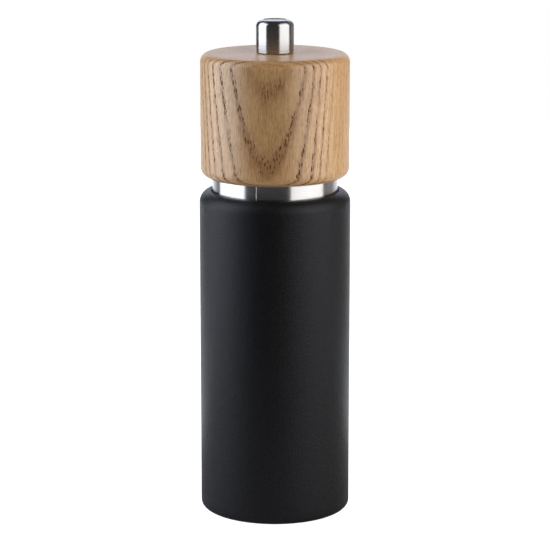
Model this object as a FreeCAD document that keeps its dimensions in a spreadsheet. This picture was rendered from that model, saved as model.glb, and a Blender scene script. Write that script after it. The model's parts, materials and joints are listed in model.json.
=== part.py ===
import FreeCAD, Part
import Sketcher
import math
import os
from FreeCAD import Vector

# Pepper mill with a ceramic cone grinder.
# Frame: +Z up, origin at the centre of the base, which stands on z = 0. Millimetres.
# The setting knob pulls the square spindle up against a spring, which lifts the
# grinding cone into its ring and makes the grind finer. Turning the head turns the
# drive plate, the spindle and the cone together.

os.makedirs("parts", exist_ok=True)
doc = FreeCAD.newDocument("pepper_mill")
sheet = doc.addObject("Spreadsheet::Sheet", "dims")

CELLS = [
    # outer shape
    ("body_radius", 27.3, "mill body outer radius"),
    ("body_top", 118.5, "flat rim of the mill body"),
    ("body_round_top", 118.7, "height at which the full shoulder arc would end"),
    ("shoulder_fillet", 4.55, "shoulder radius"),
    ("foot_fillet", 2.1, "radius at the foot"),
    ("head_radius", 26.8, "turning head outer radius"),
    ("head_low", 123.65, "underside of the head"),
    ("head_top", 168.15, "top face of the head"),
    ("head_low_fillet", 3.3, "radius under the head"),
    ("head_top_fillet", 3.0, "radius on top of the head"),
    ("knob_radius", 6.75, "knob outer radius"),
    ("knob_top", 180.0, "top of the knob, overall height"),
    ("knob_fillet", 2.1, "knob top edge radius"),
    ("knob_gap", 0.2, "gap between knob and head"),
    ("dish_radius", 4.4, "radius of the shallow dish in the knob's top"),
    ("dish_depth", 0.22, "depth of the dish"),
    # body bores
    ("bore_radius", 17.5, "hopper bore radius"),
    ("base_recess_radius", 22.6, "recess for the housing flange"),
    ("base_recess_depth", 3.8, "depth of that recess"),
    ("pocket_radius", 23.0, "pocket for the head's spigot"),
    ("pocket_floor", 109.0, "floor of the pocket"),
    ("pocket_chamfer", 0.4, "broken edge round the pocket mouth"),
    # glide ring
    ("glide_inner", 18.2, "glide ring inner radius"),
    ("glide_outer", 22.9, "glide ring outer radius"),
    ("glide_thick", 1.6, "glide ring thickness"),
    # spigot and collar
    ("spigot_radius", 21.8, "spigot radius"),
    ("spigot_low", 110.65, "underside of the spigot"),
    ("spindle_hole", 4.9, "hole through the head"),
    ("plate_recess_radius", 15.3, "recess for the drive plate"),
    ("plate_recess_depth", 4.0, "depth of that recess"),
    ("collar_outer", 22.65, "collar outer radius"),
    ("collar_inner", 21.84, "collar inner radius"),
    ("collar_low", 112.4, "lower edge of the collar"),
    ("collar_high", 123.6, "upper edge of the collar"),
    ("seam_width", 0.22, "butt seam of the rolled collar"),
    ("seam_angle", 252.8, "azimuth of the seam, degrees from +X"),
    # drive plate
    ("plate_radius", 15.0, "drive plate radius"),
    ("plate_thick", 1.5, "drive plate thickness"),
    ("square_side", 6.0, "spindle across flats"),
    ("square_play", 0.12, "play across flats in the square holes"),
    ("plate_screw_circle", 10.5, "radius of the drive plate's screw circle"),
    ("plate_screw_hole", 1.7, "clearance hole radius in the plate"),
    ("screw_shank", 1.45, "wood screw radius"),
    ("pilot_play", 0.03, "play of a screw in its pilot hole"),
    ("plate_screw_length", 11.0, "drive plate screw length under the head"),
    ("plate_screw_head", 2.7, "pan head radius"),
    ("plate_screw_head_thick", 1.6, "pan head thickness"),
    # spindle
    ("spindle_low", 8.0, "lower end of the spindle"),
    ("spindle_shoulder", 158.0, "where the square ends and the thread begins"),
    ("spindle_top", 177.0, "upper end of the thread"),
    ("thread_radius", 3.0, "M6 thread outer radius"),
    ("spindle_corner", 4.1, "radius over the square's rounded corners"),
    ("tap_radius", 2.05, "tapped hole in the lower end"),
    ("tap_depth", 12.0, "depth of the tapped hole"),
    # housing
    ("flange_radius", 22.3, "housing flange radius"),
    ("flange_low", 1.2, "underside of the flange"),
    ("flange_high", 3.75, "top of the flange"),
    ("barrel_outer", 17.2, "housing barrel outer radius"),
    ("barrel_inner", 15.1, "housing bore for the stator"),
    ("barrel_shoulder", 21.6, "shoulder above the stator"),
    ("throat_radius", 13.6, "throat above the stator"),
    ("barrel_high", 33.0, "top of the housing"),
    ("throat_lead", 1.4, "lead-in above the throat"),
    ("arm_low", 27.5, "underside of the spider's arms"),
    ("arm_high", 31.5, "top of the spider's arms"),
    ("arm_width", 2.6, "arm width"),
    ("hub_outer", 7.6, "hub outer radius"),
    ("hub_bore", 5.7, "hub bore radius"),
    ("hub_low", 26.6, "underside of the hub"),
    ("hub_high", 34.0, "top of the hub"),
    ("flange_screw_circle", 19.8, "radius of the flange's screw circle"),
    ("flange_screw_hole", 1.65, "clearance hole radius in the flange"),
    ("flange_sink", 2.7, "countersink radius at the underside"),
    ("flange_sink_depth", 1.5, "countersink depth"),
    ("housing_screw_length", 14.0, "housing screw length"),
    ("housing_screw_head", 2.55, "countersunk head radius"),
    # stator and retainer
    ("stator_outer", 15.0, "stator outer radius"),
    ("stator_low", 5.6, "stator underside"),
    ("stator_high", 21.5, "stator top"),
    ("stator_mouth", 13.2, "stator inner radius at the top"),
    ("stator_neck", 11.6, "stator inner radius at the neck"),
    ("stator_neck_high", 18.6, "upper end of the neck"),
    ("stator_neck_low", 10.8, "lower end of the neck"),
    ("stator_exit", 12.4, "stator inner radius at the underside"),
    ("tooth_depth", 0.85, "tooth depth"),
    ("stator_teeth", 24, "stator tooth count"),
    ("retainer_low", 3.0, "retainer underside"),
    ("retainer_high", 5.55, "retainer top"),
    ("retainer_outer", 15.06, "retainer outer radius"),
    ("retainer_inner", 13.4, "retainer inner radius"),
    # rotor
    ("rotor_low", 6.2, "cone underside"),
    ("rotor_high", 17.2, "cone top"),
    ("rotor_skirt", 11.95, "cone radius at the underside"),
    ("rotor_waist", 11.1, "cone radius where the fine teeth end"),
    ("rotor_waist_high", 10.6, "height where the fine teeth end"),
    ("rotor_crown", 8.2, "cone radius at the top"),
    ("rotor_bore", 5.45, "cone bore radius"),
    ("rotor_sink", 9.2, "counterbore under the cone"),
    ("rotor_sink_high", 7.5, "top of that counterbore"),
    ("rotor_teeth", 18, "cone tooth count"),
    # carrier
    ("carrier_core", 5.4, "carrier core radius"),
    ("carrier_flange", 9.1, "carrier flange radius"),
    ("carrier_low", 6.0, "carrier underside"),
    ("carrier_step", 7.45, "top of the carrier flange"),
    ("carrier_high", 17.6, "carrier top"),
    ("key_width", 2.4, "keys between the carrier and the cone"),
    ("key_reach", 6.4, "radius over the keys"),
    # lower fastening
    ("washer_low", 5.2, "washer underside"),
    ("washer_high", 5.95, "washer top"),
    ("washer_outer", 6.5, "washer outer radius"),
    ("washer_hole", 2.2, "washer hole radius"),
    ("screw_head_low", 3.0, "lower face of the rotor screw's head"),
    ("screw_head_radius", 3.6, "rotor screw head radius"),
    ("m4_radius", 2.0, "rotor screw radius"),
    ("m4_high", 17.0, "upper end of the rotor screw"),
    # spring, its seat, bush and clip
    ("seat_low", 17.65, "spring washer underside"),
    ("seat_high", 18.35, "spring washer top"),
    ("seat_outer", 7.4, "spring washer outer radius"),
    ("seat_inner", 4.6, "spring washer inner radius"),
    ("spring_radius", 5.9, "mean coil radius"),
    ("wire_radius", 0.5, "spring wire radius"),
    ("spring_low", 18.95, "centre of the lowest wire"),
    ("spring_rise", 5.5, "spring height between wire centres"),
    ("spring_turns", 3.5, "spring turns"),
    ("bush_flange_low", 25.05, "bush flange underside"),
    ("bush_flange_high", 26.5, "bush flange top"),
    ("bush_flange_radius", 7.3, "bush flange radius"),
    ("bush_outer", 5.62, "bush sleeve radius"),
    ("bush_high", 34.3, "top of the bush"),
    ("clip_low", 36.6, "clip underside"),
    ("clip_thick", 0.7, "clip thickness"),
    ("clip_radius", 7.0, "clip radius"),
    # knob inside
    ("knob_bore", 4.5, "blind bore radius in the knob"),
    ("knob_bore_high", 178.3, "end of the blind bore"),
    ("insert_outer", 4.46, "insert outer radius"),
    ("insert_inner", 3.06, "insert thread radius with running play"),
    ("insert_low", 170.2, "insert underside"),
    ("insert_high", 178.2, "insert top"),
    ("ring_inner", 4.35, "friction ring inner radius"),
    ("ring_outer", 6.0, "friction ring outer radius"),
    ("ring_low", 168.18, "friction ring underside"),
    ("ring_high", 169.6, "friction ring top"),
    ("ring_groove", 6.06, "groove radius in the knob's foot"),
    ("ring_groove_high", 169.65, "top of that groove"),
]
value = {}
for row, (alias, number, words) in enumerate(CELLS, start=1):
    sheet.set("A%d" % row, words)
    sheet.set("B%d" % row, str(number))
    sheet.setAlias("B%d" % row, alias)
    value[alias] = float(number)
doc.recompute()


class Size:
    """A length that carries its number and the sheet expression it came from."""

    def __init__(self, text, number):
        self.text, self.number = text, float(number)

    def __add__(self, other):
        o = size(other)
        return Size("(%s + %s)" % (self.text, o.text), self.number + o.number)

    def __sub__(self, other):
        o = size(other)
        return Size("(%s - %s)" % (self.text, o.text), self.number - o.number)

    def __mul__(self, other):
        o = size(other)
        return Size("(%s * %s)" % (self.text, o.text), self.number * o.number)

    def __neg__(self):
        return Size("(0 - %s)" % self.text, -self.number)


def size(x):
    return x if isinstance(x, Size) else Size(repr(float(x)), x)


def d(alias):
    return Size("dims." + alias, value[alias])


subparts = []


def body(label):
    b = doc.addObject("PartDesign::Body", label)
    b.Label = label
    subparts.append(b)
    return b


def origin_feature(b, role):
    return [o for o in b.Origin.OriginFeatures if o.Role == role][0]


def sketch(b, name, plane="XY_Plane", lift=None):
    s = b.newObject("Sketcher::SketchObject", name)
    s.AttachmentSupport = [(origin_feature(b, plane), "")]
    s.MapMode = "FlatFace"
    if lift is not None:
        s.AttachmentOffset = FreeCAD.Placement(Vector(0, 0, lift.number), FreeCAD.Rotation())
        s.setExpression("AttachmentOffset.Base.z", lift.text)
    return s


def polygon(s, pts):
    """Closed polygon whose corners are tied to the sheet; pts hold (Size, Size)."""
    pts = [(size(x), size(y)) for x, y in pts]
    n = len(pts)
    first = s.GeometryCount
    for i in range(n):
        a, c = pts[i], pts[(i + 1) % n]
        s.addGeometry(Part.LineSegment(Vector(a[0].number, a[1].number, 0),
                                       Vector(c[0].number, c[1].number, 0)), False)
    for i in range(n):
        s.addConstraint(Sketcher.Constraint("Coincident", first + i, 2, first + (i + 1) % n, 1))
    for i, (x, y) in enumerate(pts):
        for kind, q, axis in (("DistanceX", x, -2), ("DistanceY", y, -1)):
            if abs(q.number) < 1e-9:
                s.addConstraint(Sketcher.Constraint("PointOnObject", first + i, 1, axis))
            else:
                k = s.addConstraint(Sketcher.Constraint(kind, -1, 1, first + i, 1, q.number))
                s.setExpression("Constraints[%d]" % k, q.text)
    return s


def circle(s, r, x=None, y=None):
    r = size(r)
    g = s.GeometryCount
    cx, cy = size(x or 0), size(y or 0)
    s.addGeometry(Part.Circle(Vector(cx.number, cy.number, 0), Vector(0, 0, 1), r.number), False)
    k = s.addConstraint(Sketcher.Constraint("Radius", g, r.number))
    s.setExpression("Constraints[%d]" % k, r.text)
    for kind, q, axis in (("DistanceX", cx, -2), ("DistanceY", cy, -1)):
        if abs(q.number) < 1e-9:
            s.addConstraint(Sketcher.Constraint("PointOnObject", g, 3, axis))
        else:
            k = s.addConstraint(Sketcher.Constraint(kind, -1, 1, g, 3, q.number))
            s.setExpression("Constraints[%d]" % k, q.text)
    return s


def square(s, side):
    q = size(side) * 0.5
    return polygon(s, [(-q, -q), (q, -q), (q, q), (-q, q)])


def turn(b, name, pts, cut=False):
    """Revolve a polygon of (radius, z) about Z; cut removes it instead."""
    s = polygon(sketch(b, name + "_sketch", "XZ_Plane"), pts)
    f = b.newObject("PartDesign::Groove" if cut else "PartDesign::Revolution", name)
    f.Profile = s
    f.ReferenceAxis = (s, ["V_Axis"])
    f.Angle = 360.0
    finish(b, f, cut)
    return f


def pad(b, name, s, length, cut=False, down=False):
    """Extrude a sketch up (or down) by a length; cut removes it instead."""
    f = b.newObject("PartDesign::Pocket" if cut else "PartDesign::Pad", name)
    f.Profile = s
    length = size(length)
    f.Length = length.number
    f.setExpression("Length", length.text)
    # a pocket runs against its sketch's normal unless reversed
    f.Reversed = (not down) if cut else down
    finish(b, f, cut)
    return f


def finish(b, f, cut):
    before = None
    if b.Shape is not None and not b.Shape.isNull():
        before = b.Shape.Volume
    b.Tip = f
    doc.recompute()
    after = b.Shape.Volume
    if before is not None:
        if cut and not after < before - 1e-3:
            raise SystemExit("%s removed nothing" % f.Name)
        if not cut and not after > before + 1e-3:
            raise SystemExit("%s added nothing" % f.Name)


def edge_at(b, r, z):
    """Names of the body's circular edges of a radius about Z at a height."""
    names = []
    for i, e in enumerate(b.Shape.Edges, start=1):
        c = e.Curve
        if isinstance(c, Part.Circle) and abs(c.Radius - r) < 1e-3 and abs(c.Center.z - z) < 1e-3 \
                and math.hypot(c.Center.x, c.Center.y) < 1e-3:
            names.append("Edge%d" % i)
    if not names:
        raise SystemExit("no edge at %s %s on %s" % (r, z, b.Label))
    return names


def round_edge(b, name, radius, r, z, chamfer=False):
    base = b.Tip
    f = b.newObject("PartDesign::Chamfer" if chamfer else "PartDesign::Fillet", name)
    f.Base = (base, edge_at(b, r.number, z.number))
    if chamfer:
        f.Size = radius.number
        f.setExpression("Size", radius.text)
    else:
        f.Radius = radius.number
        f.setExpression("Radius", radius.text)
    b.Tip = f
    doc.recompute()
    return f


def around(b, name, feature, count):
    """Repeat a feature round Z."""
    before = b.Shape.Volume
    p = b.newObject("PartDesign::PolarPattern", name)
    p.Originals = [feature]
    p.Axis = (origin_feature(b, "Z_Axis"), [""])
    p.Angle = 360.0
    count = size(count)
    p.Occurrences = int(round(count.number))
    if count.text.startswith("dims."):
        p.setExpression("Occurrences", count.text)
    b.Tip = p
    doc.recompute()
    if abs(b.Shape.Volume - before) < 1e-3:
        raise SystemExit("%s changed nothing" % name)
    return p


def ring(label, r_in, r_out, low, high):
    b = body(label)
    turn(b, label + "_turned", [(r_in, low), (r_out, low), (r_out, high), (r_in, high)])
    return b


def groove_teeth(b, name, sections, count, inward=False, over=0.4):
    """Cut a slanted V groove through two triangular sections, then repeat it.

    sections: (z, crest radius, depth, half width, angle) low and high."""
    sk = []
    for k, (z, crest, depth, half, angle) in enumerate(sections):
        s = sketch(b, "%s_section%d" % (name, k), "XY_Plane", z)
        s.AttachmentOffset = FreeCAD.Placement(Vector(0, 0, z.number),
                                               FreeCAD.Rotation(Vector(0, 0, 1), angle))
        s.setExpression("AttachmentOffset.Base.z", z.text)
        if inward:      # teeth on an inner wall: the root lies further out
            polygon(s, [(crest - over, -size(half)), (crest + depth, 0.0), (crest - over, size(half))])
        else:
            polygon(s, [(crest + over, -size(half)), (crest - depth, 0.0), (crest + over, size(half))])
        sk.append(s)
    f = b.newObject("PartDesign::SubtractiveLoft", name)
    f.Profile = sk[0]
    f.Sections = [sk[1]]
    f.Ruled = True
    finish(b, f, True)
    around(b, name + "_all", f, count)


# ---------------------------------------------------------------- mill body
b = body("mill_body")
turn(b, "body_turned", [(d("bore_radius"), 0.0), (d("body_radius"), 0.0),
                        (d("body_radius"), d("body_round_top")), (d("bore_radius"), d("body_round_top"))])
round_edge(b, "shoulder", d("shoulder_fillet"), d("body_radius"), d("body_round_top"))
round_edge(b, "foot", d("foot_fillet"), d("body_radius"), size(0.0))
turn(b, "rim_faced", [(d("bore_radius") - 1, d("body_top")), (d("body_radius") + 1, d("body_top")),
                      (d("body_radius") + 1, d("body_round_top") + 1), (d("bore_radius") - 1, d("body_round_top") + 1)], cut=True)
turn(b, "spigot_pocket", [(d("bore_radius") - 1, d("pocket_floor")), (d("pocket_radius"), d("pocket_floor")),
                          (d("pocket_radius"), d("body_top") + 1), (d("bore_radius") - 1, d("body_top") + 1)], cut=True)
round_edge(b, "pocket_mouth", d("pocket_chamfer"), d("pocket_radius"), d("body_top"), chamfer=True)
turn(b, "flange_recess", [(d("bore_radius") - 1, size(-1.0)), (d("base_recess_radius"), size(-1.0)),
                          (d("base_recess_radius"), d("base_recess_depth")),
                          (d("bore_radius") - 1, d("base_recess_depth"))], cut=True)
s = circle(sketch(b, "pilot_sketch", "XY_Plane", d("base_recess_depth") - 0.5),
           d("screw_shank") + d("pilot_play"), size(0.0), d("flange_screw_circle"))
f = pad(b, "pilot_hole", s, d("housing_screw_length"), cut=True)
around(b, "pilot_holes", f, 3)

# ---------------------------------------------------------------- glide ring
ring("glide_ring", d("glide_inner"), d("glide_outer"), d("pocket_floor"), d("pocket_floor") + d("glide_thick"))

# ---------------------------------------------------------------- turning head
b = body("head")
turn(b, "head_turned", [(d("spindle_hole"), d("head_low")), (d("head_radius"), d("head_low")),
                        (d("head_radius"), d("head_top")), (d("spindle_hole"), d("head_top"))])
round_edge(b, "head_lower_edge", d("head_low_fillet"), d("head_radius"), d("head_low"))
round_edge(b, "head_upper_edge", d("head_top_fillet"), d("head_radius"), d("head_top"))
turn(b, "spigot", [(d("spindle_hole"), d("spigot_low")), (d("spigot_radius"), d("spigot_low")),
                   (d("spigot_radius"), d("head_low") + 1), (d("spindle_hole"), d("head_low") + 1)])
turn(b, "plate_recess", [(d("spindle_hole") - 1, d("spigot_low") - 1), (d("plate_recess_radius"), d("spigot_low") - 1),
                         (d("plate_recess_radius"), d("spigot_low") + d("plate_recess_depth")),
                         (d("spindle_hole") - 1, d("spigot_low") + d("plate_recess_depth"))], cut=True)
s = circle(sketch(b, "head_pilot_sketch", "XY_Plane", d("spigot_low") + d("plate_recess_depth") - 0.5),
           d("screw_shank") + d("pilot_play"), size(0.0), d("plate_screw_circle"))
f = pad(b, "head_pilot", s, d("plate_screw_length"), cut=True)
around(b, "head_pilots", f, 3)

# ---------------------------------------------------------------- collar: strip rolled into a ring, butt seam
b = ring("head_collar", d("collar_inner"), d("collar_outer"), d("collar_low"), d("collar_high"))
s = sketch(b, "seam_sketch", "XY_Plane", d("collar_low") - 1)
s.AttachmentOffset = FreeCAD.Placement(Vector(0, 0, value["collar_low"] - 1),
                                       FreeCAD.Rotation(Vector(0, 0, 1), value["seam_angle"]))
s.setExpression("AttachmentOffset.Base.z", "dims.collar_low - 1")
q = d("seam_width") * 0.5
polygon(s, [(d("collar_inner") - 1, -q), (d("collar_outer") + 1, -q), (d("collar_outer") + 1, q), (d("collar_inner") - 1, q)])
pad(b, "butt_seam", s, d("collar_high") - d("collar_low") + 2, cut=True)

# ---------------------------------------------------------------- drive plate
plate_high = d("spigot_low") + d("plate_recess_depth") - 0.03
plate_low = plate_high - d("plate_thick")
b = body("drive_plate")
s = circle(sketch(b, "plate_sketch", "XY_Plane", plate_low), d("plate_radius"))
square(s, d("square_side") + d("square_play"))
pad(b, "plate", s, d("plate_thick"))
s = circle(sketch(b, "plate_hole_sketch", "XY_Plane", plate_low - 1), d("plate_screw_hole"), size(0.0), d("plate_screw_circle"))
f = pad(b, "plate_hole", s, d("plate_thick") + 2, cut=True)
around(b, "plate_holes", f, 3)


def bound(obj, prop, q):
    q = size(q)
    setattr(obj, prop, q.number)
    obj.setExpression(prop, q.text)


def place(obj, x, y, z, z_text=None):
    obj.Placement = FreeCAD.Placement(Vector(x, y, z), FreeCAD.Rotation())
    if z_text:
        obj.setExpression("Placement.Base.z", z_text)


def screw_set(label, circle_radius, shank_low, shank_length, head_low, head_thick, head_r1, head_r2, first_angle):
    """Three identical cross-recess wood screws, driven upwards."""
    made = []
    for k in range(3):
        a = math.radians(first_angle + 120.0 * k)
        x, y = circle_radius.number * math.cos(a), circle_radius.number * math.sin(a)
        n = "%s_%d" % (label, k + 1)
        shank = doc.addObject("Part::Cylinder", n + "_shank")
        bound(shank, "Radius", d("screw_shank"))
        bound(shank, "Height", shank_length - 2.5)
        place(shank, x, y, shank_low.number, shank_low.text)
        point = doc.addObject("Part::Cone", n + "_point")
        bound(point, "Radius1", d("screw_shank"))
        bound(point, "Radius2", size(0.25))
        bound(point, "Height", size(2.5))
        z = shank_low + shank_length - 2.5
        place(point, x, y, z.number, z.text)
        head = doc.addObject("Part::Cone", n + "_head")
        bound(head, "Radius1", head_r1)
        bound(head, "Radius2", head_r2)
        bound(head, "Height", head_thick)
        place(head, x, y, head_low.number, head_low.text)
        solid = doc.addObject("Part::MultiFuse", n + "_blank")
        solid.Shapes = [shank, point, head]
        solid.Refine = True
        slots = []
        for j, (w, l) in enumerate(((0.75, 2.9), (2.9, 0.75))):
            slot = doc.addObject("Part::Box", "%s_slot%d" % (n, j))
            bound(slot, "Length", size(w))
            bound(slot, "Width", size(l))
            bound(slot, "Height", size(1.35))
            z = head_low - 0.4
            place(slot, x - w / 2, y - l / 2, z.number, z.text)
            slots.append(slot)
        recess = doc.addObject("Part::MultiFuse", n + "_recess")
        recess.Shapes = slots
        cut = doc.addObject("Part::Cut", n)
        cut.Base, cut.Tool = solid, recess
        made.append(cut)
    group = doc.addObject("Part::Compound", label)
    group.Links = made
    group.Label = label
    subparts.append(group)
    return group


screw_set("drive_plate_screws", d("plate_screw_circle"), plate_low - 0.1, d("plate_screw_length"),
          plate_low - d("plate_screw_head_thick") - 0.03, d("plate_screw_head_thick"),
          d("plate_screw_head") - 0.5, d("plate_screw_head"), 90.0)

# ---------------------------------------------------------------- spindle
b = body("spindle")
s = square(sketch(b, "spindle_sketch", "XY_Plane", d("spindle_low")), d("square_side"))
pad(b, "square_bar", s, d("spindle_shoulder") - d("spindle_low"))
# the bar's corners are drawn slightly round
turn(b, "corners", [(d("spindle_corner"), d("spindle_low") - 1), (d("spindle_corner") + 2, d("spindle_low") - 1),
                    (d("spindle_corner") + 2, d("spindle_shoulder") + 1), (d("spindle_corner"), d("spindle_shoulder") + 1)], cut=True)
s = circle(sketch(b, "thread_sketch", "XY_Plane", d("spindle_shoulder") - 1), d("thread_radius") - 0.02)
pad(b, "thread_barrel", s, d("spindle_top") - d("spindle_shoulder") + 1)
round_edge(b, "thread_lead", size(0.6), d("thread_radius") - 0.02, d("spindle_top"), chamfer=True)
s = circle(sketch(b, "tap_sketch", "XY_Plane", d("spindle_low") - 1), d("tap_radius"))
pad(b, "tapped_hole", s, d("tap_depth") + 1, cut=True)

# ---------------------------------------------------------------- push-on clip on the spindle
b = body("spindle_clip")
s = circle(sketch(b, "clip_sketch", "XY_Plane", d("clip_low")), d("clip_radius"))
square(s, d("square_side") + 0.06)
pad(b, "clip_disc", s, d("clip_thick"))
s = sketch(b, "clip_slit_sketch", "XY_Plane", d("clip_low") - 1)
polygon(s, [(size(2.0), size(-0.4)), (size(5.2), size(-0.4)), (size(5.2), size(0.4)), (size(2.0), size(0.4))])
f = pad(b, "clip_slit", s, d("clip_thick") + 2, cut=True)
around(b, "clip_slits", f, 4)

# ---------------------------------------------------------------- grinder housing
b = body("grinder_housing")
turn(b, "housing_turned", [
    (d("barrel_inner"), d("flange_low")), (d("flange_radius"), d("flange_low")),
    (d("flange_radius"), d("flange_high")), (d("barrel_outer"), d("flange_high")),
    (d("barrel_outer"), d("barrel_high")), (d("throat_radius") + d("throat_lead"), d("barrel_high")),
    (d("throat_radius"), d("barrel_high") - d("throat_lead")),
    (d("throat_radius"), d("barrel_shoulder")), (d("barrel_inner"), d("barrel_shoulder"))])
s = circle(circle(sketch(b, "hub_sketch", "XY_Plane", d("hub_low")), d("hub_outer")), d("hub_bore"))
hub_reach = d("throat_radius") + 0.3
# arms first, so that the hub joins the barrel as one solid
s_arm = sketch(b, "arm_sketch", "XY_Plane", d("arm_low"))
w = d("arm_width") * 0.5
polygon(s_arm, [(d("hub_bore") + 0.6, -w), (hub_reach, -w), (hub_reach, w), (d("hub_bore") + 0.6, w)])
f = pad(b, "arm", s_arm, d("arm_high") - d("arm_low"))
around(b, "arms", f, 3)
pad(b, "hub", s, d("hub_high") - d("hub_low"))
s = circle(sketch(b, "flange_hole_sketch", "XY_Plane", d("flange_low") - 1), d("flange_screw_hole"), size(0.0), d("flange_screw_circle"))
f = pad(b, "flange_hole", s, d("flange_high") - d("flange_low") + 2, cut=True)
around(b, "flange_holes", f, 3)
# countersinks at the underside, each turned about its own screw's axis
s = sketch(b, "sink_sketch", "YZ_Plane")
cy = d("flange_screw_circle")
polygon(s, [(cy, d("flange_low") - 0.5), (cy + d("flange_sink") + 0.5, d("flange_low") - 0.5),
            (cy + d("flange_screw_hole") - 0.2, d("flange_low") + d("flange_sink_depth")),
            (cy, d("flange_low") + d("flange_sink_depth"))])
f = b.newObject("PartDesign::Groove", "sink")
f.Profile = s
f.ReferenceAxis = (s, ["Edge4"])
f.Angle = 360.0
finish(b, f, True)
around(b, "sinks", f, 3)

screw_set("housing_screws", d("flange_screw_circle"), d("flange_low") + 0.3, d("housing_screw_length"),
          d("flange_low") + 0.05, size(1.35), d("housing_screw_head"), d("screw_shank") - 0.1, 90.0)

# ---------------------------------------------------------------- stator ring with inner teeth
b = body("stator_ring")
turn(b, "stator_turned", [
    (d("stator_exit"), d("stator_low")), (d("stator_outer"), d("stator_low")),
    (d("stator_outer"), d("stator_high")), (d("stator_mouth"), d("stator_high")),
    (d("stator_neck"), d("stator_neck_high")), (d("stator_neck"), d("stator_neck_low"))])
groove_teeth(b, "stator_fine", [
    (d("stator_low") - 1, d("stator_exit") + 0.15, d("tooth_depth"), 1.25, -5.0),
    (d("stator_neck_low") + 1.5, d("stator_neck") - 0.1, d("tooth_depth"), 1.25, 5.0)], d("stator_teeth"), inward=True)

ring("stator_retainer", d("retainer_inner"), d("retainer_outer"), d("retainer_low"), d("retainer_high"))

# ---------------------------------------------------------------- grinding cone
b = body("grinder_rotor")
turn(b, "rotor_turned", [
    (d("rotor_bore"), d("rotor_low")), (d("rotor_skirt"), d("rotor_low")),
    (d("rotor_waist"), d("rotor_waist_high")), (d("rotor_crown"), d("rotor_high")),
    (d("rotor_bore"), d("rotor_high"))])
turn(b, "rotor_counterbore", [(d("rotor_bore") - 1, d("rotor_low") - 1), (d("rotor_sink"), d("rotor_low") - 1),
                              (d("rotor_sink"), d("rotor_sink_high")), (d("rotor_bore") - 1, d("rotor_sink_high"))], cut=True)
s = sketch(b, "keyway_sketch", "XY_Plane", d("rotor_low") - 1)
w = d("key_width") * 0.5 + 0.05
polygon(s, [(size(2.0), -w), (d("key_reach") + 0.06, -w), (d("key_reach") + 0.06, w), (size(2.0), w)])
f = pad(b, "keyway", s, d("rotor_high") - d("rotor_low") + 2, cut=True)
around(b, "keyways", f, 3)
groove_teeth(b, "rotor_fine", [
    (d("rotor_low") - 1, d("rotor_skirt") + 0.15, d("tooth_depth"), 1.3, 8.0),
    (d("rotor_waist_high") + 1.0, d("rotor_waist") - 0.3, d("tooth_depth"), 1.3, -6.0)], d("rotor_teeth"))
groove_teeth(b, "rotor_coarse", [
    (d("rotor_waist_high") - 0.8, d("rotor_waist") + 0.25, size(0.4), 3.6, 16.0),
    (d("rotor_high") + 1.0, d("rotor_crown") - 0.3, size(0.9), 3.6, -14.0)], size(6), over=1.3)

# ---------------------------------------------------------------- carrier
b = body("rotor_carrier")
turn(b, "carrier_turned", [
    (size(2.6), d("carrier_low")), (d("carrier_flange"), d("carrier_low")), (d("carrier_flange"), d("carrier_step")),
    (d("carrier_core"), d("carrier_step")), (d("carrier_core"), d("carrier_high")), (size(2.6), d("carrier_high"))])
s = sketch(b, "key_sketch", "XY_Plane", d("carrier_step") - 0.5)
w = d("key_width") * 0.5
polygon(s, [(d("carrier_core") - 1, -w), (d("key_reach"), -w), (d("key_reach"), w), (d("carrier_core") - 1, w)])
f = pad(b, "key", s, d("rotor_high") - d("carrier_step") + 0.5 - 0.3)
around(b, "keys", f, 3)
s = square(sketch(b, "carrier_square_sketch", "XY_Plane", d("spindle_low") - 0.05), d("square_side") + 0.08)
pad(b, "carrier_square", s, d("carrier_high") - d("spindle_low") + 2, cut=True)

ring("rotor_washer", d("washer_hole"), d("washer_outer"), d("washer_low"), d("washer_high"))

# ---------------------------------------------------------------- screw under the cone
b = body("rotor_screw")
turn(b, "screw_turned", [
    (size(0.0), d("screw_head_low")), (d("screw_head_radius") - 0.4, d("screw_head_low")),
    (d("screw_head_radius"), d("screw_head_low") + 0.5), (d("screw_head_radius"), d("washer_low") - 0.02),
    (d("m4_radius"), d("washer_low") - 0.02), (d("m4_radius"), d("m4_high")), (size(0.0), d("m4_high"))])
s = sketch(b, "slot_sketch", "XY_Plane", d("screw_head_low") - 1)
polygon(s, [(size(-2.3), size(-0.45)), (size(2.3), size(-0.45)), (size(2.3), size(0.45)), (size(-2.3), size(0.45))])
pad(b, "slot_one", s, size(2.1), cut=True)
s = sketch(b, "slot_two_sketch", "XY_Plane", d("screw_head_low") - 1)
polygon(s, [(size(-0.45), size(-2.3)), (size(0.45), size(-2.3)), (size(0.45), size(2.3)), (size(-0.45), size(2.3))])
pad(b, "slot_two", s, size(2.1), cut=True)

# ---------------------------------------------------------------- spring seat, spring, bush
ring("spring_washer", d("seat_inner"), d("seat_outer"), d("seat_low"), d("seat_high"))

b = body("grinder_spring")
s = circle(sketch(b, "wire_sketch", "XZ_Plane"), d("wire_radius"), d("spring_radius"), d("spring_low"))
f = b.newObject("PartDesign::AdditiveHelix", "coil")
f.Profile = s
f.ReferenceAxis = (s, ["V_Axis"])
f.Mode = "height-turns-angle"
f.Height = value["spring_rise"]
f.setExpression("Height", "dims.spring_rise")
f.Turns = value["spring_turns"]
f.setExpression("Turns", "dims.spring_turns")
f.Angle = 0.0
f.Growth = 0.0
finish(b, f, False)

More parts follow.
